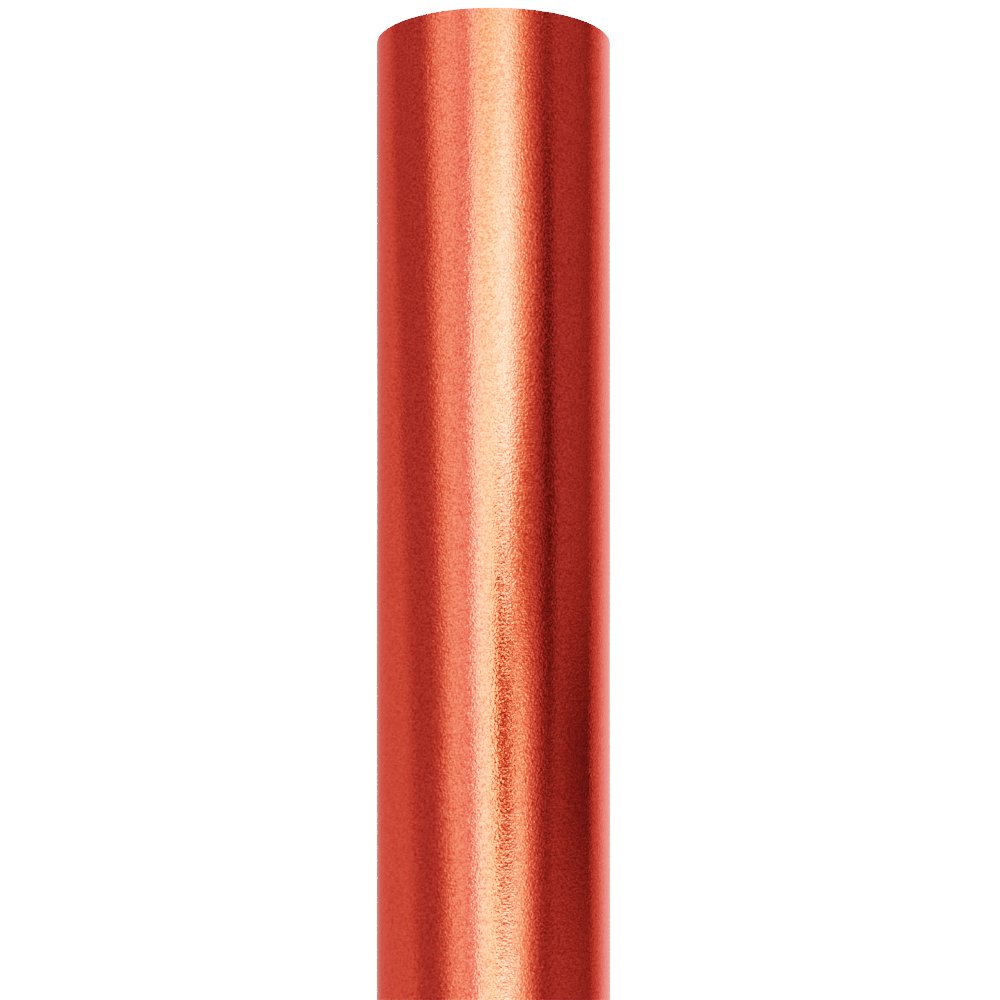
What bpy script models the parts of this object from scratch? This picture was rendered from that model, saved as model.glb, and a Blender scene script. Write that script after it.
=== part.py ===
"""A wide roll of adhesive copper foil, standing on one end.

The web is two layers, copper foil outside and a paper release liner inside, wound
anticlockwise (seen from above) round a paperboard core. The last stretch of the web is a
free tail at the back, held down by two clear closing tabs. Metres, +Z up, the roll's axis
on Z and the lower end of the core at Z = 0.
"""

import math

import bmesh
import bpy

# Driving dimensions, in metres.
WEB_WIDTH = 0.3048
CORE_BORE_RADIUS = 0.01905
CORE_WALL = 0.0025
CORE_OVERHANG = 0.0003
ROLL_RADIUS = 0.030
LAYER = 0.0002
GAP = 0.0003

# The web's spiral. Angles are in degrees, anticlockwise from +X, and +Y is the back.
EDGE_ANGLE = 100.0
TAIL_ARC = 60.0
HINGE_ANGLE = 360.0 + EDGE_ANGLE - TAIL_ARC
END_ANGLE = 360.0 + EDGE_ANGLE
# The line about which the tail bends lies within the thickness of the real, thinner web.
TAIL_HINGE_RADIUS = ROLL_RADIUS - 0.0001

# The closing tabs, of clear tape, stuck across the tail's edge.
TAB_WIDTH = 0.018
TAB_ON_TAIL = 15.0
TAB_ON_TURN = 16.0
TAB_HINGE_RADIUS = ROLL_RADIUS
TAB_HEIGHTS = {"closing_tab_lower": 0.25, "closing_tab_upper": 0.75}

# The strip that fixes the web's inner end to the core.
START_TAPE_ANGLE = 100.0
START_TAPE_ARC = 32.0

# Worked out from the values above.
CORE_RADIUS = CORE_BORE_RADIUS + CORE_WALL
CORE_LENGTH = WEB_WIDTH + 2 * CORE_OVERHANG
WEB_BOTTOM = CORE_OVERHANG
WEB_TOP = WEB_BOTTOM + WEB_WIDTH
PITCH = 2 * (LAYER + GAP)
FOIL_LIFT = -LAYER / 2
LINER_LIFT = FOIL_LIFT - LAYER - GAP
WOUND_LIFT = LINER_LIFT - LAYER / 2 - GAP
PACK_BORE_RADIUS = CORE_RADIUS + 2 * GAP + LAYER

FACET = 360.0 / 96
TAB_FACET = 2.5

# Colour, metallic value and roughness of each material.
FINISHES = {
    "copper_foil": ((0.72, 0.12, 0.06), 1.0, 0.28),
    "wound_web": ((0.62, 0.22, 0.13), 0.7, 0.45),
    "release_liner": ((0.82, 0.78, 0.68), 0.0, 0.55),
    "paperboard": ((0.46, 0.33, 0.20), 0.0, 0.85),
    "tissue_tape": ((0.80, 0.76, 0.62), 0.0, 0.60),
    "clear_tape": ((0.85, 0.86, 0.84), 0.0, 0.20),
}


def clear_scene():
    for obj in list(bpy.data.objects):
        bpy.data.objects.remove(obj, do_unlink=True)


def material(name):
    found = bpy.data.materials.get(name)
    if found:
        return found
    colour, metallic, roughness = FINISHES[name]
    made = bpy.data.materials.new(name)
    made.use_nodes = True
    shader = made.node_tree.nodes["Principled BSDF"]
    shader.inputs["Base Color"].default_value = (*colour, 1.0)
    shader.inputs["Metallic"].default_value = metallic
    shader.inputs["Roughness"].default_value = roughness
    return made


def polar(radius, degrees):
    angle = math.radians(degrees)
    return radius * math.cos(angle), radius * math.sin(angle)


def spiral_radius(degrees, lift):
    """Radius of a layer's middle, which lies `lift` from the web's outer face."""
    return ROLL_RADIUS + lift - PITCH * (END_ANGLE - degrees) / 360.0


def steps(start, end, facet):
    count = max(1, math.ceil((end - start) / facet))
    return [start + (end - start) * i / count for i in range(count + 1)]


def shift(degrees, along):
    """The angle that lies `along` metres further round the roll than `degrees`."""
    return degrees + math.degrees(along / ROLL_RADIUS)


def add_object(name, bm, finish, parent=None, pivot=(0.0, 0.0, 0.0)):
    """Makes a smooth-shaded object with its origin on `pivot`, given in world metres."""
    bmesh.ops.recalc_face_normals(bm, faces=bm.faces)
    bmesh.ops.translate(bm, verts=bm.verts, vec=[-c for c in pivot])
    mesh = bpy.data.meshes.new(name)
    bm.to_mesh(mesh)
    bm.free()
    mesh.materials.append(material(finish))
    mesh.shade_smooth()
    mesh.set_sharp_from_angle(angle=math.radians(30))
    obj = bpy.data.objects.new(name, mesh)
    bpy.context.collection.objects.link(obj)
    if parent:
        obj.parent = parent
        obj.location = [p - q for p, q in zip(pivot, world_place(parent))]
    else:
        obj.location = pivot
    return obj


def world_place(obj):
    place = [0.0, 0.0, 0.0]
    while obj:
        place = [p + q for p, q in zip(place, obj.location)]
        obj = obj.parent
    return place


def band(inner, outer, bottom, top):
    """A band of two matching rows of (x, y) points, raised from bottom to top.

    A closed ring when the rows' first points are repeated at their ends.
    """
    bm = bmesh.new()
    closed = inner[0] == inner[-1] and outer[0] == outer[-1]
    if closed:
        inner, outer = inner[:-1], outer[:-1]
    rows = []
    for outline, z in ((outer, bottom), (outer, top), (inner, top), (inner, bottom)):
        rows.append([bm.verts.new((x, y, z)) for x, y in outline])
    count = len(inner)
    for i in range(count if closed else count - 1):
        j = (i + 1) % count
        for side in range(4):
            here, there = rows[side], rows[(side + 1) % 4]
            bm.faces.new((here[i], here[j], there[j], there[i]))
    if not closed:
        bm.faces.new([row[0] for row in rows])
        bm.faces.new([row[-1] for row in reversed(rows)])
    return bm


def layer_band(angles, radius_at, thickness, bottom, top):
    """A thin curved strip, `thickness` deep about the radius that radius_at gives."""
    inner = [polar(radius_at(a) - thickness / 2, a) for a in angles]
    outer = [polar(radius_at(a) + thickness / 2, a) for a in angles]
    return band(inner, outer, bottom, top)


def core_tube():
    """Spiral-wound paperboard tube, open right through."""
    angles = steps(0.0, 360.0, FACET)
    inner = [polar(CORE_BORE_RADIUS, a) for a in angles[:-1]]
    outer = [polar(CORE_RADIUS, a) for a in angles[:-1]]
    bm = band(inner + inner[:1], outer + outer[:1], 0.0, CORE_LENGTH)
    return add_object("core_tube", bm, "paperboard")


def start_tape():
    """Double-sided strip between the core and the web's first turn."""
    middle = CORE_RADIUS + GAP + LAYER / 2
    angles = steps(START_TAPE_ANGLE, START_TAPE_ANGLE + START_TAPE_ARC, FACET)
    bm = layer_band(angles, lambda a: middle, LAYER, WEB_BOTTOM, WEB_TOP)
    return add_object("start_tape", bm, "tissue_tape")


def wound_web():
    """The inner turns of foil and liner, one solid with a spiral outside.

    The step in the outside, at the tail's edge, is where the last turn begins.
    """
    angles = steps(EDGE_ANGLE, END_ANGLE, FACET)
    outer = [polar(spiral_radius(a, WOUND_LIFT), a) for a in angles]
    inner = [polar(PACK_BORE_RADIUS, a) for a in angles]
    bm = bmesh.new()
    outer_rows = []
    inner_rows = []
    for z in (WEB_BOTTOM, WEB_TOP):
        outer_rows.append([bm.verts.new((x, y, z)) for x, y in outer])
        ring = [bm.verts.new((x, y, z)) for x, y in inner[:-1]]
        inner_rows.append(ring + ring[:1])
    last = len(angles) - 2
    for i in range(last + 1):
        for low, high in (outer_rows, inner_rows):
            bm.faces.new((low[i], low[i + 1], high[i + 1], high[i]))
        for out_row, in_row in zip(outer_rows, inner_rows):
            # The last end face also takes in the foot of the step, on its own radial line.
            foot = [out_row[0]] if i == last else []
            bm.faces.new([out_row[i], out_row[i + 1], *foot, in_row[i + 1], in_row[i]])
    low, high = outer_rows
    bm.faces.new((low[0], low[-1], high[-1], high[0]))
    return add_object("wound_web", bm, "wound_web")


def turn_and_tail(layer, lift, finish, hinge):
    """One layer's last turn and its free tail, apart by a clearance at the hinge line."""

    def radius_at(degrees):
        return spiral_radius(degrees, lift)

    def strip(start, end):
        return layer_band(steps(start, end, FACET), radius_at, LAYER, WEB_BOTTOM, WEB_TOP)

    turn = strip(shift(EDGE_ANGLE, GAP), shift(HINGE_ANGLE, -GAP))
    add_object(f"outer_{layer}_turn", turn, finish)
    tail = strip(shift(HINGE_ANGLE, GAP), END_ANGLE)
    return add_object(f"{layer}_tail", tail, finish, pivot=hinge)


def closing_tab(name, share, foil_tail):
    """Clear tape over the tail's edge, which steps down onto the turn below."""
    face_lift = FOIL_LIFT + LAYER + GAP
    first = END_ANGLE - TAB_ON_TAIL
    jog_start = END_ANGLE + 1.0
    jog_end = jog_start + 2.0
    high_side = steps(first, jog_start, TAB_FACET)
    low_side = steps(jog_end, END_ANGLE + TAB_ON_TURN, TAB_FACET)

    def radius_at(degrees):
        if degrees <= jog_start:
            return spiral_radius(degrees, face_lift)
        return spiral_radius(degrees - 360.0, face_lift)

    bottom = WEB_BOTTOM + WEB_WIDTH * share - TAB_WIDTH / 2
    bm = layer_band(high_side + low_side, radius_at, LAYER, bottom, bottom + TAB_WIDTH)
    pivot = (*polar(TAB_HINGE_RADIUS, first), 0.0)
    return add_object(name, bm, "clear_tape", parent=foil_tail, pivot=pivot)


clear_scene()
core_tube()
start_tape()
wound_web()
hinge_line = (*polar(TAIL_HINGE_RADIUS, HINGE_ANGLE), 0.0)
liner_tail = turn_and_tail("liner", LINER_LIFT, "release_liner", hinge_line)
foil_tail = turn_and_tail("foil", FOIL_LIFT, "copper_foil", hinge_line)
foil_tail.parent = liner_tail
foil_tail.location = (0.0, 0.0, 0.0)
for tab_name, tab_share in TAB_HEIGHTS.items():
    closing_tab(tab_name, tab_share, foil_tail)
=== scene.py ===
import math

import bmesh
import bpy
from mathutils import Matrix, Vector


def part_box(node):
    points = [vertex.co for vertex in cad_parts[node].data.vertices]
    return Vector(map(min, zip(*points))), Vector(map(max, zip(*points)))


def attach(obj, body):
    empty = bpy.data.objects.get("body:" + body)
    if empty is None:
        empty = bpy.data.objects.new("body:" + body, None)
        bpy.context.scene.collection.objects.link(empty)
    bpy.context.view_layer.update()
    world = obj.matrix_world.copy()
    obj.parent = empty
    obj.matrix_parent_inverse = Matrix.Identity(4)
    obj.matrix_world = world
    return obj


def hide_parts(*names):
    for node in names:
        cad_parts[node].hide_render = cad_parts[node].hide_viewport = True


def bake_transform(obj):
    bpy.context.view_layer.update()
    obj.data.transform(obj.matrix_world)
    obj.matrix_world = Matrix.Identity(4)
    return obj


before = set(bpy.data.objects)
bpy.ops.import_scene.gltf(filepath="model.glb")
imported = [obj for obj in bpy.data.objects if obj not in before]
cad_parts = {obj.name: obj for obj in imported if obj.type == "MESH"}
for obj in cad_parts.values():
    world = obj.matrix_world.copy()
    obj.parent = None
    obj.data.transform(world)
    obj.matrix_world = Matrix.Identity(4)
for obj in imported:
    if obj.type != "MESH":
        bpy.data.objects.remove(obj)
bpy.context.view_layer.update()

# --- Camera -------------------------------------------------------------------------------
# A level camera close in front of the roll, below its upper rim, so that the rim bows
# upwards and the roll's foot runs out of the picture.
core_low, core_high = (Vector(corner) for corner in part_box("core_tube"))
roll_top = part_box("wound_web")[1][2]
EYE_BELOW_RIM = 0.1162
EYE_DISTANCE = 0.3786
EYE_RIGHT_OF_AXIS = 0.0017
LENS = 53.24

camera_data = bpy.data.cameras.new("camera")
camera_data.lens = LENS
camera_data.sensor_width = 36.0
camera = bpy.data.objects.new("camera", camera_data)
camera.location = (EYE_RIGHT_OF_AXIS, -EYE_DISTANCE, roll_top - EYE_BELOW_RIM)
camera.rotation_euler = (math.radians(90), 0, 0)
bpy.context.collection.objects.link(camera)
bpy.context.scene.camera = camera


# --- Core tube ----------------------------------------------------------------------------
# Paperboard plies wound in a helix and glued, then cut to length. The innermost ply's edges
# butt along a helical seam in the bore; the other plies show as rings on the cut ends.
CORE_BORE = 0.01905
CORE_OUTSIDE = 0.02155
CORE_FACETS = 144
PLY = 0.00042
PLY_GROOVE = 0.00006
SEAM_GAP = 0.0005
SEAM_RISE = 0.076
CUT_EDGE = 0.0001


def add_node(tree, kind, values=None, links=None, **settings):
    """Adds a node with its settings, socket values and incoming links."""
    node = tree.nodes.new(kind)
    for name, value in settings.items():
        setattr(node, name, value)
    for key, value in (values or {}).items():
        node.inputs[key].default_value = value
    for key, socket in (links or {}).items():
        tree.links.new(socket, node.inputs[key])
    return node


def new_material(name):
    """A material with an empty Principled surface, as (material, tree, shader)."""
    made = bpy.data.materials.new(name)
    made.use_nodes = True
    return made, made.node_tree, made.node_tree.nodes["Principled BSDF"]


def noise(tree, place, scale, detail=2.0, stretch=(1.0, 1.0, 1.0)):
    """Noise over the piece's own metres, `scale` grains to the metre."""
    if stretch != (1.0, 1.0, 1.0):
        place = add_node(tree, "ShaderNodeMapping", {"Scale": stretch}, {"Vector": place}).outputs[0]
    return add_node(
        tree, "ShaderNodeTexNoise", {"Scale": scale, "Detail": detail}, {"Vector": place}
    ).outputs[0]


def ramp(tree, value, low, high, bottom=0.0, top=1.0):
    """`value` from low..high brought to bottom..top, clamped."""
    return add_node(
        tree,
        "ShaderNodeMapRange",
        {"From Min": low, "From Max": high, "To Min": bottom, "To Max": top},
        {"Value": value},
    ).outputs[0]


def sums(tree, operation, first, second):
    """One Math node; each of its two values is a number or a socket."""
    node = add_node(tree, "ShaderNodeMath", operation=operation)
    for socket, value in zip(node.inputs, (first, second)):
        if isinstance(value, (int, float)):
            socket.default_value = value
        else:
            tree.links.new(value, socket)
    return node.outputs[0]


def blend_colours(tree, share, first, second):
    """The first colour at share 0 and the second at 1, each a value or a socket."""
    node = add_node(tree, "ShaderNodeMix", data_type="RGBA")
    for socket, value in zip((node.inputs[0], node.inputs[6], node.inputs[7]), (share, first, second)):
        if isinstance(value, tuple):
            socket.default_value = (*value, 1.0)
        elif isinstance(value, (int, float)):
            socket.default_value = value
        else:
            tree.links.new(value, socket)
    return node.outputs[2]


def bump(tree, shader, height, depth, after=None):
    """Raises the surface by `height` times `depth` metres, over another bump."""
    node = add_node(tree, "ShaderNodeBump", {"Distance": depth}, {"Height": height})
    if after:
        tree.links.new(after, node.inputs["Normal"])
    tree.links.new(node.outputs[0], shader.inputs["Normal"])
    return node.outputs[0]


def object_place(tree):
    """Places in the piece's own metres."""
    return add_node(tree, "ShaderNodeTexCoord").outputs["Object"]


def from_axis(tree, place):
    """Distance from the roll's axis."""
    flat = add_node(
        tree, "ShaderNodeVectorMath", {1: (1.0, 1.0, 0.0)}, {0: place}, operation="MULTIPLY"
    )
    across = add_node(
        tree, "ShaderNodeVectorMath", links={0: flat.outputs[0]}, operation="LENGTH"
    )
    return across.outputs["Value"]


def kraft_board():
    """Brown kraft: short fibres, darker flecks, and ply rings by distance from the axis."""
    made, tree, shader = new_material("kraft_board")
    place = object_place(tree)
    fibres = noise(tree, place, 900.0, 4.0, (1.0, 1.0, 0.35))
    flecks = noise(tree, place, 260.0, 3.0)
    across = from_axis(tree, place)
    ring = sums(tree, "PINGPONG", sums(tree, "SUBTRACT", across, CORE_BORE), PLY / 2)
    line = ramp(tree, ring, 0.0, PLY * 0.2)
    body = blend_colours(
        tree, ramp(tree, fibres, 0.3, 0.7), (0.28, 0.17, 0.085), (0.47, 0.32, 0.18)
    )
    body = blend_colours(tree, ramp(tree, flecks, 0.62, 0.72), body, (0.20, 0.12, 0.06))
    body = blend_colours(tree, line, (0.22, 0.135, 0.07), body)
    tree.links.new(body, shader.inputs["Base Color"])
    tree.links.new(ramp(tree, fibres, 0.2, 0.8, 0.78, 0.95), shader.inputs["Roughness"])
    bump(tree, shader, fibres, 0.00008)
    return made


def add_piece(name, mesh, *materials):
    """A finished piece at the origin, smooth except at sharp edges."""
    for material in materials:
        mesh.materials.append(material)
    mesh.shade_smooth()
    mesh.set_sharp_from_angle(angle=math.radians(35))
    piece = bpy.data.objects.new(name, mesh)
    bpy.context.collection.objects.link(piece)
    return piece


def turned(name, profile, facets):
    """A closed ring turned from a closed profile of (radius, height) points."""
    bm = bmesh.new()
    rings = []
    for i in range(facets):
        angle = math.tau * i / facets
        rings.append(
            [bm.verts.new((r * math.cos(angle), r * math.sin(angle), z)) for r, z in profile]
        )
    for i in range(facets):
        here, there = rings[i], rings[(i + 1) % facets]
        for j in range(len(profile)):
            k = (j + 1) % len(profile)
            bm.faces.new((here[j], there[j], there[k], here[k]))
    bmesh.ops.recalc_face_normals(bm, faces=bm.faces)
    mesh = bpy.data.meshes.new(name)
    bm.to_mesh(mesh)
    bm.free()
    return mesh


def ply_end(height, inward):
    """One cut end's (radius, height) points, from the bore outwards, grooved between plies."""
    points = [(CORE_BORE + PLY, height + inward * CUT_EDGE)]
    radius = CORE_BORE + PLY
    while radius + PLY < CORE_OUTSIDE - PLY / 2:
        points.append((radius + PLY * 0.12, height))
        points.append((radius + PLY * 0.88, height))
        radius += PLY
        points.append((radius, height + inward * PLY_GROOVE))
    points.append((CORE_OUTSIDE - CUT_EDGE, height))
    points.append((CORE_OUTSIDE, height + inward * CUT_EDGE))
    return points


kraft = kraft_board()
core_profile = ply_end(core_high.z, -1) + ply_end(core_low.z, 1)[::-1]
core_tube = add_piece("core_board_tube", turned("core_board_tube", core_profile, CORE_FACETS), kraft)
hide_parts("core_tube")
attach(core_tube, "roll")


def inner_ply():
    """The bore's ply, a ribbon on a helix, trimmed flat at both ends."""
    bm = bmesh.new()
    width = SEAM_RISE - SEAM_GAP
    turns = math.ceil((core_high.z - core_low.z) / SEAM_RISE) + 2
    count = turns * CORE_FACETS
    outer = CORE_BORE + PLY * 0.97
    last = None
    for i in range(count + 1):
        angle = math.tau * i / CORE_FACETS
        start = core_low.z - 1.5 * SEAM_RISE + SEAM_RISE * i / CORE_FACETS
        row = [
            bm.verts.new((r * math.cos(angle), r * math.sin(angle), z))
            for r, z in (
                (CORE_BORE, start),
                (CORE_BORE, start + width),
                (outer, start + width),
                (outer, start),
            )
        ]
        if last:
            for j in range(4):
                k = (j + 1) % 4
                bm.faces.new((last[j], last[k], row[k], row[j]))
        last = row
    for height, keep_below in ((core_high.z, True), (core_low.z, False)):
        cut = bmesh.ops.bisect_plane(
            bm,
            geom=bm.verts[:] + bm.edges[:] + bm.faces[:],
            plane_co=(0, 0, height),
            plane_no=(0, 0, 1 if keep_below else -1),
            clear_outer=True,
        )
        edges = [e for e in cut["geom_cut"] if isinstance(e, bmesh.types.BMEdge)]
        bmesh.ops.holes_fill(bm, edges=edges, sides=0)
    bmesh.ops.recalc_face_normals(bm, faces=bm.faces)
    mesh = bpy.data.meshes.new("core_inner_ply")
    bm.to_mesh(mesh)
    bm.free()
    return mesh


core_ply = add_piece("core_inner_ply", inner_ply(), kraft)
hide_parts("core_tube")
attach(core_ply, "roll")


# --- Start tape ---------------------------------------------------------------------------
# Tissue tape, sticky on both faces, along the core's whole length. The web's inner end is
# pressed onto it before winding begins.
TAPE = 0.0001
TAPE_START = 100.0
TAPE_ARC = 32.0
TAPE_COLUMNS = 24
TAPE_ROWS = 8
web_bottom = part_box("wound_web")[0][2]
web_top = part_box("wound_web")[1][2]


def spread(first, last, count):
    """Even steps from first to last, both included."""
    return [first + (last - first) * i / count for i in range(count + 1)]


def curved_strip(name, angles, heights, outer, inner, pinking=0.0):
    """A closed strip round the axis. Its faces' radii are outer and inner of (degrees, height).

    Every second row is shortened by the pinking share, which gives the ends teeth.
    """
    middle = (angles[0] + angles[-1]) / 2
    bm = bmesh.new()
    sides = []
    for radius in (outer, inner):
        side = []
        for angle in angles:
            column = []
            for j, z in enumerate(heights):
                degrees = middle + (angle - middle) * (1.0 - pinking * (j % 2))
                a = math.radians(degrees)
                r = radius(degrees, z)
                column.append(bm.verts.new((r * math.cos(a), r * math.sin(a), z)))
            side.append(column)
        sides.append(side)
    near, far = sides
    last = len(angles) - 1
    rows = len(heights) - 1
    for i in range(last):
        for j in range(rows):
            for index, side in enumerate(sides):
                corners = (side[i][j], side[i + 1][j], side[i + 1][j + 1], side[i][j + 1])
                bm.faces.new(corners).material_index = index
        for j in (0, rows):
            bm.faces.new((near[i][j], near[i + 1][j], far[i + 1][j], far[i][j]))
    for i in (0, last):
        for j in range(rows):
            bm.faces.new((near[i][j], near[i][j + 1], far[i][j + 1], far[i][j]))
    bmesh.ops.recalc_face_normals(bm, faces=bm.faces)
    mesh = bpy.data.meshes.new(name)
    bm.to_mesh(mesh)
    bm.free()
    return mesh


def tissue_stock():
    """Off-white long-fibred tissue, soaked with adhesive."""
    made, tree, shader = new_material("sticky_tissue")
    place = object_place(tree)
    fibres = noise(tree, place, 1.0, 3.0, (1400.0, 1400.0, 240.0))
    body = blend_colours(
        tree, ramp(tree, fibres, 0.35, 0.65), (0.62, 0.57, 0.44), (0.84, 0.81, 0.70)
    )
    tree.links.new(body, shader.inputs["Base Color"])
    tree.links.new(ramp(tree, fibres, 0.3, 0.7, 0.35, 0.65), shader.inputs["Roughness"])
    bump(tree, shader, fibres, 0.00002)
    return made


tissue = tissue_stock()
tape_mesh = curved_strip(
    "start_tape_strip",
    spread(TAPE_START, TAPE_START + TAPE_ARC, TAPE_COLUMNS),
    spread(web_bottom, web_top, TAPE_ROWS),
    lambda degrees, z: CORE_OUTSIDE + TAPE,
    lambda degrees, z: CORE_OUTSIDE,
)
start_tape = add_piece("start_tape_strip", tape_mesh, tissue, tissue)
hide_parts("start_tape")
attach(start_tape, "roll")


# --- Wound foil and liner -----------------------------------------------------------------
# One strip of copper foil with adhesive on its inner face and one of release liner, wound
# together. Each turn has wandered a little along the roll, so the end faces aren't flat.
ROLL_OUTSIDE = 0.030
EDGE_ANGLE = 100.0
TAIL_ARC = 60.0
FOIL = 0.000063
LINER = 0.000078
TURN_PITCH = 0.000149
WANDER = 0.00044
WANDERS_PER_METRE = 3300.0
STEPS_PER_TURN = 120


def copper():
    """Satin foil, with a sandy grain of redder and yellower specks and short rolling marks."""
    made, tree, shader = new_material("satin_copper")
    place = object_place(tree)
    grain = noise(tree, place, 1900.0, 1.0)
    sand = noise(tree, place, 2300.0, 1.0)
    marks = noise(tree, place, 1.0, 1.0, (420.0, 420.0, 2600.0))
    body = blend_colours(
        tree, ramp(tree, sand, 0.32, 0.68), (0.44, 0.0160, 0.0085), (0.99, 0.0640, 0.0330)
    )
    tree.links.new(body, shader.inputs["Base Color"])
    shader.inputs["Metallic"].default_value = 1.0
    shader.inputs["Specular Tint"].default_value = (1.0, 0.56, 0.55, 1.0)
    tree.links.new(ramp(tree, marks, 0.3, 0.7, 0.06, 0.10), shader.inputs["Roughness"])
    after = bump(tree, shader, grain, 0.00006)
    bump(tree, shader, marks, 0.00002, after)
    return made


def liner_paper():
    """Cream release paper with a silicone sheen."""
    made, tree, shader = new_material("release_paper")
    place = object_place(tree)
    fibres = noise(tree, place, 1500.0, 3.0)
    body = blend_colours(
        tree, ramp(tree, fibres, 0.3, 0.7), (0.80, 0.75, 0.62), (0.88, 0.84, 0.73)
    )
    tree.links.new(body, shader.inputs["Base Color"])
    tree.links.new(ramp(tree, fibres, 0.3, 0.7, 0.42, 0.55), shader.inputs["Roughness"])
    shader.inputs["Coat Weight"].default_value = 0.25
    shader.inputs["Coat Roughness"].default_value = 0.35
    bump(tree, shader, fibres, 0.00001)
    return made


def tree_input(tree, name, kind):
    """Adds a named input, and gives the identifier by which a modifier sets it."""
    return tree.interface.new_socket(name, in_out="INPUT", socket_type=kind).identifier


def winding_tree():
    """Geometry Nodes: a thin strip wound in a spiral, its turns wandering along the roll."""
    tree = bpy.data.node_groups.new("winding", "GeometryNodeTree")
    tree.interface.new_socket("Geometry", in_out="OUTPUT", socket_type="NodeSocketGeometry")
    sockets = {
        "Start radius": "NodeSocketFloat",
        "End radius": "NodeSocketFloat",
        "Turns": "NodeSocketFloat",
        "Start angle": "NodeSocketFloat",
        "Steps per turn": "NodeSocketInt",
        "Thickness": "NodeSocketFloat",
        "Bottom": "NodeSocketFloat",
        "Width": "NodeSocketFloat",
        "Wander": "NodeSocketFloat",
        "Material": "NodeSocketMaterial",
    }
    names = {name: tree_input(tree, name, kind) for name, kind in sockets.items()}
    given = add_node(tree, "NodeGroupInput").outputs
    spiral = add_node(
        tree,
        "GeometryNodeCurveSpiral",
        {"Height": 0.0, "Reverse": True},
        {
            "Resolution": given["Steps per turn"],
            "Rotations": given["Turns"],
            "Start Radius": given["Start radius"],
            "End Radius": given["End radius"],
        },
    )
    turn = add_node(tree, "ShaderNodeCombineXYZ", links={"Z": given["Start angle"]})
    middle = add_node(
        tree,
        "ShaderNodeMath",
        {1: 0.5, 2: 0.0},
        {0: given["Width"], 2: given["Bottom"]},
        operation="MULTIPLY_ADD",
    )
    lift = add_node(tree, "ShaderNodeCombineXYZ", links={"Z": middle.outputs[0]})
    placed = add_node(
        tree,
        "GeometryNodeTransform",
        links={
            "Geometry": spiral.outputs[0],
            "Translation": lift.outputs[0],
            "Rotation": turn.outputs[0],
        },
    )
    upright = add_node(
        tree, "GeometryNodeSetCurveNormal", links={"Curve": placed.outputs[0]}, mode="Z_UP"
    )
    section = add_node(
        tree,
        "GeometryNodeCurvePrimitiveQuadrilateral",
        links={"Width": given["Thickness"], "Height": given["Width"]},
    )
    strip = add_node(
        tree,
        "GeometryNodeCurveToMesh",
        {"Fill Caps": True},
        {"Curve": upright.outputs[0], "Profile Curve": section.outputs[0]},
    )
    where = add_node(tree, "GeometryNodeInputPosition").outputs[0]
    wavering = add_node(
        tree,
        "ShaderNodeTexNoise",
        {"Scale": WANDERS_PER_METRE, "Detail": 1.0},
        {"W": from_axis(tree, where)},
        noise_dimensions="1D",
    )
    centred = add_node(
        tree, "ShaderNodeMath", {1: 0.5}, {0: wavering.outputs[0]}, operation="SUBTRACT"
    )
    sideways = add_node(
        tree,
        "ShaderNodeMath",
        links={0: centred.outputs[0], 1: given["Wander"]},
        operation="MULTIPLY",
    )
    offset = add_node(tree, "ShaderNodeCombineXYZ", links={"Z": sideways.outputs[0]})
    moved = add_node(
        tree,
        "GeometryNodeSetPosition",
        links={"Geometry": strip.outputs[0], "Offset": offset.outputs[0]},
    )
    real = add_node(tree, "GeometryNodeRealizeInstances", links={0: moved.outputs[0]})
    finish = add_node(
        tree,
        "GeometryNodeSetMaterial",
        links={"Geometry": real.outputs[0], "Material": given["Material"]},
    )
    out = add_node(tree, "NodeGroupOutput")
    tree.links.new(finish.outputs[0], out.inputs[0])
    return tree, names


def grown(name, tree, names, **values):
    """Runs a Geometry Nodes tree and keeps its result as a plain mesh."""
    holder = bpy.data.objects.new(name, bpy.data.meshes.new(name))
    bpy.context.collection.objects.link(holder)
    modifier = holder.modifiers.new("grow", "NODES")
    modifier.node_group = tree
    for key, value in values.items():
        modifier[names[key.replace("_", " ")]] = value
    seen = holder.evaluated_get(bpy.context.evaluated_depsgraph_get())
    mesh = bpy.data.meshes.new_from_object(seen)
    bpy.data.objects.remove(holder)
    mesh.name = name
    return mesh


copper_foil = copper()
liner_stock = liner_paper()
winding, winding_names = winding_tree()
wound_turns = math.floor((ROLL_OUTSIDE - CORE_OUTSIDE - TAPE) / TURN_PITCH - 1.0)
for layer, thickness, below, stock, slot_name in (
    ("foil", FOIL, 0.0, copper_foil, "copper_foil"),
    ("liner", LINER, FOIL, liner_stock, "release_liner"),
):
    middle_radius = ROLL_OUTSIDE - below - thickness / 2
    mesh = grown(
        f"wound_{layer}",
        winding,
        winding_names,
        Start_radius=middle_radius - TURN_PITCH * (wound_turns + 1),
        End_radius=middle_radius - TURN_PITCH,
        Turns=wound_turns,
        Start_angle=math.radians(EDGE_ANGLE) - math.tau * wound_turns,
        Steps_per_turn=STEPS_PER_TURN,
        Thickness=thickness,
        Bottom=web_bottom,
        Width=web_top - web_bottom,
        Wander=WANDER,
        Material=stock,
    )
    wound = add_piece(f"wound_{layer}", mesh)
    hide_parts("wound_web")
    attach(wound, "roll")


# --- Last turn ----------------------------------------------------------------------------
# The web's outermost turn, which begins under the tail's free edge. The foil has been
# handled, so it is not quite round: long shallow waves show in its reflections.
HINGE_ANGLE = EDGE_ANGLE + 360.0 - TAIL_ARC
TAIL_END = EDGE_ANGLE + 360.0
TURN_COLUMNS = 400
WEB_ROWS = 64
# Each wave's size in metres, waves round the roll, radians a metre along it, and phase.
WAVES = ((0.000020, 3, 38, 0.0), (0.000014, 5, -61, 1.3), (0.000008, 9, 120, 0.4))
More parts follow.
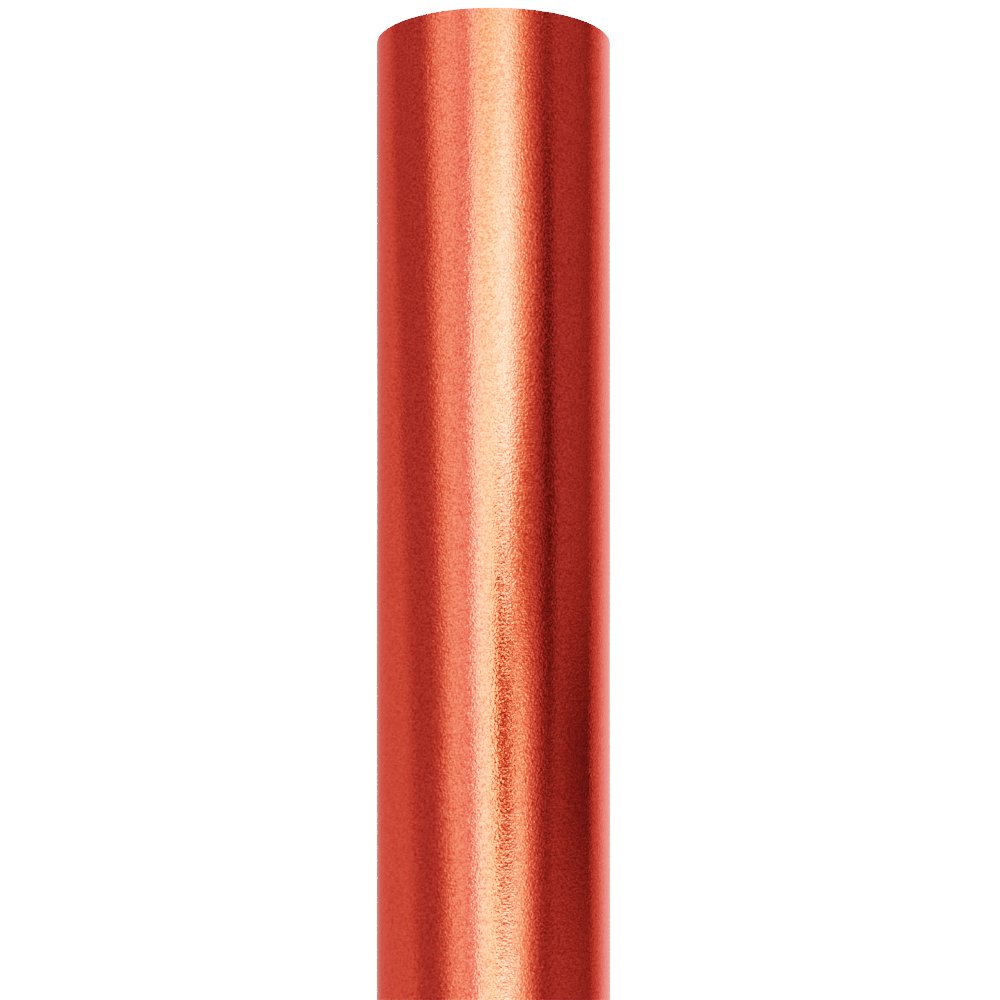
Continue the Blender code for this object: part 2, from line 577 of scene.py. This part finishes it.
# At the fold the foil's outer corners are cut back, so that they don't meet when it bends.
FOLD_CUT = 0.07
FOLD_GAP = 0.02
FOLD_CUT_DEPTH = 0.95
web_heights = spread(web_bottom, web_top, WEB_ROWS)


def web_radius(degrees, depth):
    """Radius of the web `depth` under its outer face, which is outermost at the tail's end."""
    return ROLL_OUTSIDE - depth - TURN_PITCH * (TAIL_END - degrees) / 360.0


def waviness(degrees, height):
    """Shallow waves inwards in metres, the same each turn."""
    a = math.radians(degrees)
    return sum(
        size * (math.sin(around * a + along * height + phase) - 1.0)
        for size, around, along, phase in WAVES
    )


def sticky_copper():
    """The foil's inner face: copper under a thin, cloudy layer of clear adhesive."""
    made, tree, shader = new_material("adhesive_on_copper")
    place = object_place(tree)
    clouds = noise(tree, place, 160.0, 3.0)
    ribs = noise(tree, place, 1.0, 1.0, (500.0, 500.0, 1700.0))
    body = blend_colours(
        tree, ramp(tree, clouds, 0.3, 0.7), (0.60, 0.23, 0.13), (0.72, 0.33, 0.20)
    )
    tree.links.new(body, shader.inputs["Base Color"])
    shader.inputs["Metallic"].default_value = 0.75
    tree.links.new(ramp(tree, ribs, 0.3, 0.7, 0.34, 0.50), shader.inputs["Roughness"])
    shader.inputs["Coat Weight"].default_value = 0.5
    shader.inputs["Coat Roughness"].default_value = 0.22
    bump(tree, shader, ribs, 0.00002)
    return made


def web_layer(name, first, last, columns, depth, thickness, lift):
    """One layer of the web from first to last degrees, raised off the roll by lift."""
    angles = [a for a in spread(first, last, columns) if abs(a - HINGE_ANGLE) > FOLD_CUT]
    if first < HINGE_ANGLE:
        angles += [HINGE_ANGLE - FOLD_CUT, HINGE_ANGLE - FOLD_GAP]
    else:
        angles = [HINGE_ANGLE + FOLD_GAP, HINGE_ANGLE + FOLD_CUT] + angles

    def outer(degrees, z):
        cut = FOLD_CUT_DEPTH if abs(degrees - HINGE_ANGLE) < FOLD_CUT / 2 else 0.0
        return web_radius(degrees, depth + thickness * cut) + waviness(degrees, z) + lift(degrees, z)

    def inner(degrees, z):
        return web_radius(degrees, depth + thickness) + waviness(degrees, z) + lift(degrees, z)

    return curved_strip(name, angles, web_heights, outer, inner)


copper_back = sticky_copper()
web_layers = (
    ("foil", 0.0, FOIL, copper_foil, copper_back, "copper_foil"),
    ("liner", FOIL, LINER, liner_stock, liner_stock, "release_liner"),
)
for layer, depth, thickness, face, back, slot_name in web_layers:
    mesh = web_layer(
        f"last_turn_{layer}",
        EDGE_ANGLE,
        HINGE_ANGLE,
        TURN_COLUMNS,
        depth,
        thickness,
        lambda degrees, z: 0.0,
    )
    turn_piece = add_piece(f"last_turn_{layer}", mesh, face, back)
    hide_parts(f"outer_{layer}_turn")
    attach(turn_piece, "roll")


# --- Free tail ----------------------------------------------------------------------------
# The web's last stretch, at the back, from where the foil is peeled from the liner. Its edge
# springs away a little wherever no tab holds it.
TAIL_SPRING = 0.0012
SPRING_SPREAD = 0.055
TAIL_COLUMNS = 100
tab_boxes = {place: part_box(f"closing_tab_{place}") for place in ("lower", "upper")}
tab_heights = {place: (low[2], high[2]) for place, (low, high) in tab_boxes.items()}


def tail_lift(degrees, z):
    """How far the tail stands off: more towards its edge and away from the tabs."""
    along = (degrees - HINGE_ANGLE) / TAIL_ARC
    held = 1.0
    for low, high in tab_heights.values():
        away = min(max(low - z, z - high, 0.0) / SPRING_SPREAD, 1.0)
        held *= away * away * (3 - 2 * away)
    return TAIL_SPRING * along**3 * held


for layer, depth, thickness, face, back, slot_name in web_layers:
    mesh = web_layer(
        f"tail_{layer}", HINGE_ANGLE, TAIL_END, TAIL_COLUMNS, depth, thickness, tail_lift
    )
    tail_piece = add_piece(f"tail_{layer}", mesh, face, back)
    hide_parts(f"{layer}_tail")
    if layer == "liner":
        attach(tail_piece, "liner_end")
    else:
        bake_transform(tail_piece)


# --- Closing tabs -------------------------------------------------------------------------
# Two short lengths of clear tape, cut with a toothed blade, stuck over the tail's edge. The
# film steps down from the tail onto the turn below it.
TAB_ON_TAIL = 15.0
TAB_ON_TURN = 16.0
TAB_FILM = 0.00005
TAB_GLUE = 0.000006
TAB_DROP_START = 0.1
TAB_DROP = 2.4
TAB_PINKING = 0.035
TAB_COLUMNS = 62
TAB_ROWS = 24


def clear_film():
    """Clear film, a little cloudy, with a few silvery patches where air is trapped."""
    made, tree, shader = new_material("clear_film")
    place = object_place(tree)
    haze = noise(tree, place, 120.0, 2.0)
    air = noise(tree, place, 260.0, 1.0)
    trapped = ramp(tree, air, 0.66, 0.78)
    body = blend_colours(tree, trapped, (0.20, 0.16, 0.12), (0.66, 0.60, 0.52))
    tree.links.new(body, shader.inputs["Base Color"])
    cover = sums(
        tree, "ADD", ramp(tree, haze, 0.3, 0.7, 0.06, 0.12), sums(tree, "MULTIPLY", trapped, 0.06)
    )
    tree.links.new(cover, shader.inputs["Alpha"])
    tree.links.new(ramp(tree, haze, 0.3, 0.7, 0.12, 0.20), shader.inputs["Roughness"])
    shader.inputs["IOR"].default_value = 1.48
    bump(tree, shader, haze, 0.00002)
    return made


def under_tab(degrees, z):
    """The surface that a tab lies on: the tail, then the turn below the tail's edge."""
    drop = min(max((degrees - TAIL_END - TAB_DROP_START) / TAB_DROP, 0.0), 1.0)
    drop = drop * drop * (3 - 2 * drop)
    return web_radius(degrees, -TAB_GLUE) - TURN_PITCH * drop + waviness(degrees, z)


film = clear_film()
for place, (low, high) in tab_heights.items():
    tab_mesh = curved_strip(
        f"closing_tab_film_{place}",
        spread(TAIL_END - TAB_ON_TAIL, TAIL_END + TAB_ON_TURN, TAB_COLUMNS),
        spread(low, high, TAB_ROWS),
        lambda degrees, z: under_tab(degrees, z) + TAB_FILM,
        under_tab,
        TAB_PINKING,
    )
    tab = add_piece(f"closing_tab_film_{place}", tab_mesh, film, film)
    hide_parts(f"closing_tab_{place}")
    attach(tab, f"{place}_tab")


# --- Floor, backdrop and light ------------------------------------------------------------
# A pale floor that runs out to white, inside a tent of soft panels that only the pieces see.
# Each panel is a sheet between two uprights; the dim ones leave the darker bands on the
# metal, and scrims hung in front dim parts of a panel.
TENT_RADIUS = 0.9
TENT_MIDDLE = roll_top - EYE_BELOW_RIM
TENT_REACH = 42.0
SLANT_REACH = 25.0
TENT_ROWS = 9
DAY = (1.0, 1.0, 1.35)
PLAIN = (1.0, 1.0, 1.0)
PINK = (1.0, 0.97, 1.12)
CREAM = (1.0, 1.0, 0.84)
STRAW = (1.0, 0.98, 0.70)
PALE = (1.0, 0.94, 1.08)
BLUSH = (1.0, 0.50, 0.42)

# Uprights round the tent, leftwards to rightwards: bearing at the top and at the foot of
# the slant in degrees to the right of straight in front, strength, and tint.
UPRIGHTS = (
    (-180, -180, 0.9, PALE),
    (-170, -170, 0.9, PALE),
    (-162, -162, 1.2, BLUSH),
    (-150, -148, 1.5, BLUSH),
    (-132, -125, 1.35, PALE),
    (-123, -79, 1.3, PALE),
    (-113, -70, 0.60, DAY),
    (-70, -50, 0.60, DAY),
    (-63, -40, 1.7, PLAIN),
    (-56, -37, 3.9, PLAIN),
    (-44, -30, 5.4, PLAIN),
    (-37, -22, 3.9, PINK),
    (-23, -15, 3.9, PINK),
    (-21, -12, 22.0, PINK),
    (-12, -7, 22.0, STRAW),
    (3, 3, 32.0, STRAW),
    (9, 9, 50.0, CREAM),
    (14, 14, 48.0, CREAM),
    (17, 17, 26.0, CREAM),
    (23, 23, 13.0, CREAM),
    (29, 29, 5.0, CREAM),
    (35, 35, 1.9, PLAIN),
    (41, 41, 0.72, DAY),
    (47, 47, 0.45, DAY),
    (58, 58, 0.60, DAY),
    (84, 84, 0.50, DAY),
    (109, 109, 0.28, DAY),
    (111, 111, 1.0, PALE),
    (123, 123, 1.1, PALE),
    (127, 127, 2.6, PALE),
    (138, 138, 3.3, PALE),
    (152, 152, 3.6, BLUSH),
    (161, 161, 2.9, BLUSH),
    (170, 170, 1.0, PALE),
    (180, 180, 0.9, PALE),
)


def sheet(name, bearing_rows, heights, radius, glow):
    """An upright sheet bent round the roll, unseen by the camera, with one row of bearings
    for each height. Heights are in degrees above the level of the camera."""
    bm = bmesh.new()
    rows = []
    for bearings, height in zip(bearing_rows, heights):
        z = TENT_MIDDLE + radius * math.tan(math.radians(height))
        around = [math.radians(b) for b in bearings]
        rows.append([bm.verts.new((radius * math.sin(b), -radius * math.cos(b), z)) for b in around])
    for low, high in zip(rows, rows[1:]):
        for i in range(len(low) - 1):
            bm.faces.new((low[i], low[i + 1], high[i + 1], high[i]))
    mesh = bpy.data.meshes.new(name)
    bm.to_mesh(mesh)
    bm.free()
    mesh.materials.append(glow)
    piece = bpy.data.objects.new(name, mesh)
    piece.visible_camera = False
    bpy.context.collection.objects.link(piece)
    return mesh


def stage_material(name):
    """A material with only an output, as (material, tree, output)."""
    made = bpy.data.materials.new(name)
    made.use_nodes = True
    made.node_tree.nodes.clear()
    return made, made.node_tree, add_node(made.node_tree, "ShaderNodeOutputMaterial")


tent_cloth, cloth_tree, cloth_out = stage_material("tent_cloth")
cloth_colour = add_node(cloth_tree, "ShaderNodeAttribute", attribute_name="glow").outputs["Color"]
cloth_light = add_node(cloth_tree, "ShaderNodeEmission", links={"Color": cloth_colour})
cloth_tree.links.new(cloth_light.outputs[0], cloth_out.inputs[0])

tent_heights = spread(-TENT_REACH, TENT_REACH, TENT_ROWS - 1)
tent_bearings = []
tent_glow = []
for height in tent_heights:
    part = min(max((height + SLANT_REACH) / (2 * SLANT_REACH), 0.0), 1.0)
    tent_bearings.append([foot + (top - foot) * part for top, foot, strength, tint in UPRIGHTS])
    for top, foot, strength, tint in UPRIGHTS:
        tent_glow.extend([strength * c for c in tint] + [1.0])
tent_mesh = sheet("tent", tent_bearings, tent_heights, TENT_RADIUS, tent_cloth)
tent_mesh.attributes.new("glow", "FLOAT_COLOR", "POINT").data.foreach_set("color", tent_glow)

# A scrim dims what is behind it, fully between its inner edges and not at all at its outer.
scrim_cloth, scrim_tree, scrim_out = stage_material("scrim_cloth")
scrim_depth = add_node(scrim_tree, "ShaderNodeAttribute", attribute_name="depth").outputs["Fac"]
scrim_share = sums(scrim_tree, "POWER", 1 / math.e, scrim_depth)
scrim_through = add_node(scrim_tree, "ShaderNodeBsdfTransparent", links={"Color": scrim_share})
scrim_tree.links.new(scrim_through.outputs[0], scrim_out.inputs[0])

# Each scrim's bearings and heights in degrees, from outer edge to outer edge, then how far it
# dims as a power of e, and its distance in front of the tent.
SCRIMS = {
    "scrim_above": ((-30, -20, 32, 44), (9, 24, 50, 60), 0.75, 0.03),
    "scrim_low_right": ((58, 76, 107, 111), (-22, -17, -10, -5), 0.85, 0.05),
    "scrim_dark_right": ((46, 50, 56, 58), (-30, 8, 14, 28), 1.7, 0.06),
    "scrim_dark_wide": ((54, 58, 60, 62), (-18, -8, 0, 9), 1.4, 0.07),
    "scrim_shoulders": ((14, 18, 30, 42), (-11, -5, 1, 8), 1.6, 0.08),
    "scrim_cord": ((14, 15.5, 17, 19), (-18, -9, 1, 6), 1.1, 0.09),
    "scrim_stand": ((0.5, 3.5, 10, 12), (-26, -15, -4, 3), 4.4, 0.10),
    "scrim_stand_foot": ((9.5, 11.5, 16.5, 21.5), (-25, -17, -11, -5), 4.2, 0.11),
}
for name, (bearings, heights, depth, in_front) in SCRIMS.items():
    scrim_mesh = sheet(name, [bearings] * 4, heights, TENT_RADIUS - in_front, scrim_cloth)
    shares = (0.0, 1.0, 1.0, 0.0)
    depths = [depth * up * across for up in shares for across in shares]
    scrim_mesh.attributes.new("depth", "FLOAT", "POINT").data.foreach_set("value", depths)

# The floor and the room beyond it glow only as seen directly, so both come out white.
FLOOR_HALF = 8.0
FLOOR_SEEN = 16.0
ROOM_LIGHT = 0.55
ROOM_SEEN = 25.0

floor_mesh = bpy.data.meshes.new("floor")
floor_bm = bmesh.new()
bmesh.ops.create_grid(floor_bm, x_segments=1, y_segments=1, size=FLOOR_HALF)
floor_bm.to_mesh(floor_mesh)
floor_bm.free()
pale, pale_tree, pale_shader = new_material("pale_floor")
pale_shader.inputs["Base Color"].default_value = (0.9, 0.9, 0.9, 1.0)
pale_shader.inputs["Roughness"].default_value = 0.9
pale_shader.inputs["Emission Color"].default_value = (1.0, 1.0, 1.0, 1.0)
seen_directly = add_node(pale_tree, "ShaderNodeLightPath").outputs["Is Camera Ray"]
pale_tree.links.new(
    sums(pale_tree, "MULTIPLY", seen_directly, FLOOR_SEEN), pale_shader.inputs["Emission Strength"]
)
floor_mesh.materials.append(pale)
floor = bpy.data.objects.new("floor", floor_mesh)
floor.visible_glossy = False
floor.visible_shadow = False
bpy.context.collection.objects.link(floor)

# A round of card under the roll's foot, seen only in the metal, hides the light below.
CARD_RADIUS = 0.075
CARD_FACETS = 48
CARD_PLACE = Matrix.Translation((0.0, 0.0, -0.0004))

card_mesh = bpy.data.meshes.new("card")
card_bm = bmesh.new()
bmesh.ops.create_circle(
    card_bm, cap_ends=True, segments=CARD_FACETS, radius=CARD_RADIUS, matrix=CARD_PLACE
)
card_bm.to_mesh(card_mesh)
card_bm.free()
grey, _, grey_shader = new_material("grey_card")
grey_shader.inputs["Base Color"].default_value = (0.30, 0.29, 0.29, 1.0)
grey_shader.inputs["Roughness"].default_value = 0.9
card_mesh.materials.append(grey)
card = bpy.data.objects.new("card", card_mesh)
card.visible_camera = False
card.visible_shadow = False
bpy.context.collection.objects.link(card)

world = bpy.data.worlds.new("studio")
world.use_nodes = True
bpy.context.scene.world = world
room = world.node_tree
background = room.nodes["Background"]
room_seen = add_node(room, "ShaderNodeLightPath").outputs["Is Camera Ray"]
room.links.new(ramp(room, room_seen, 0.0, 1.0, ROOM_LIGHT, ROOM_SEEN), background.inputs["Strength"])
background.inputs["Color"].default_value = (*DAY, 1.0)

view = bpy.context.scene.view_settings
view.view_transform = "Filmic"
view.look = "None"
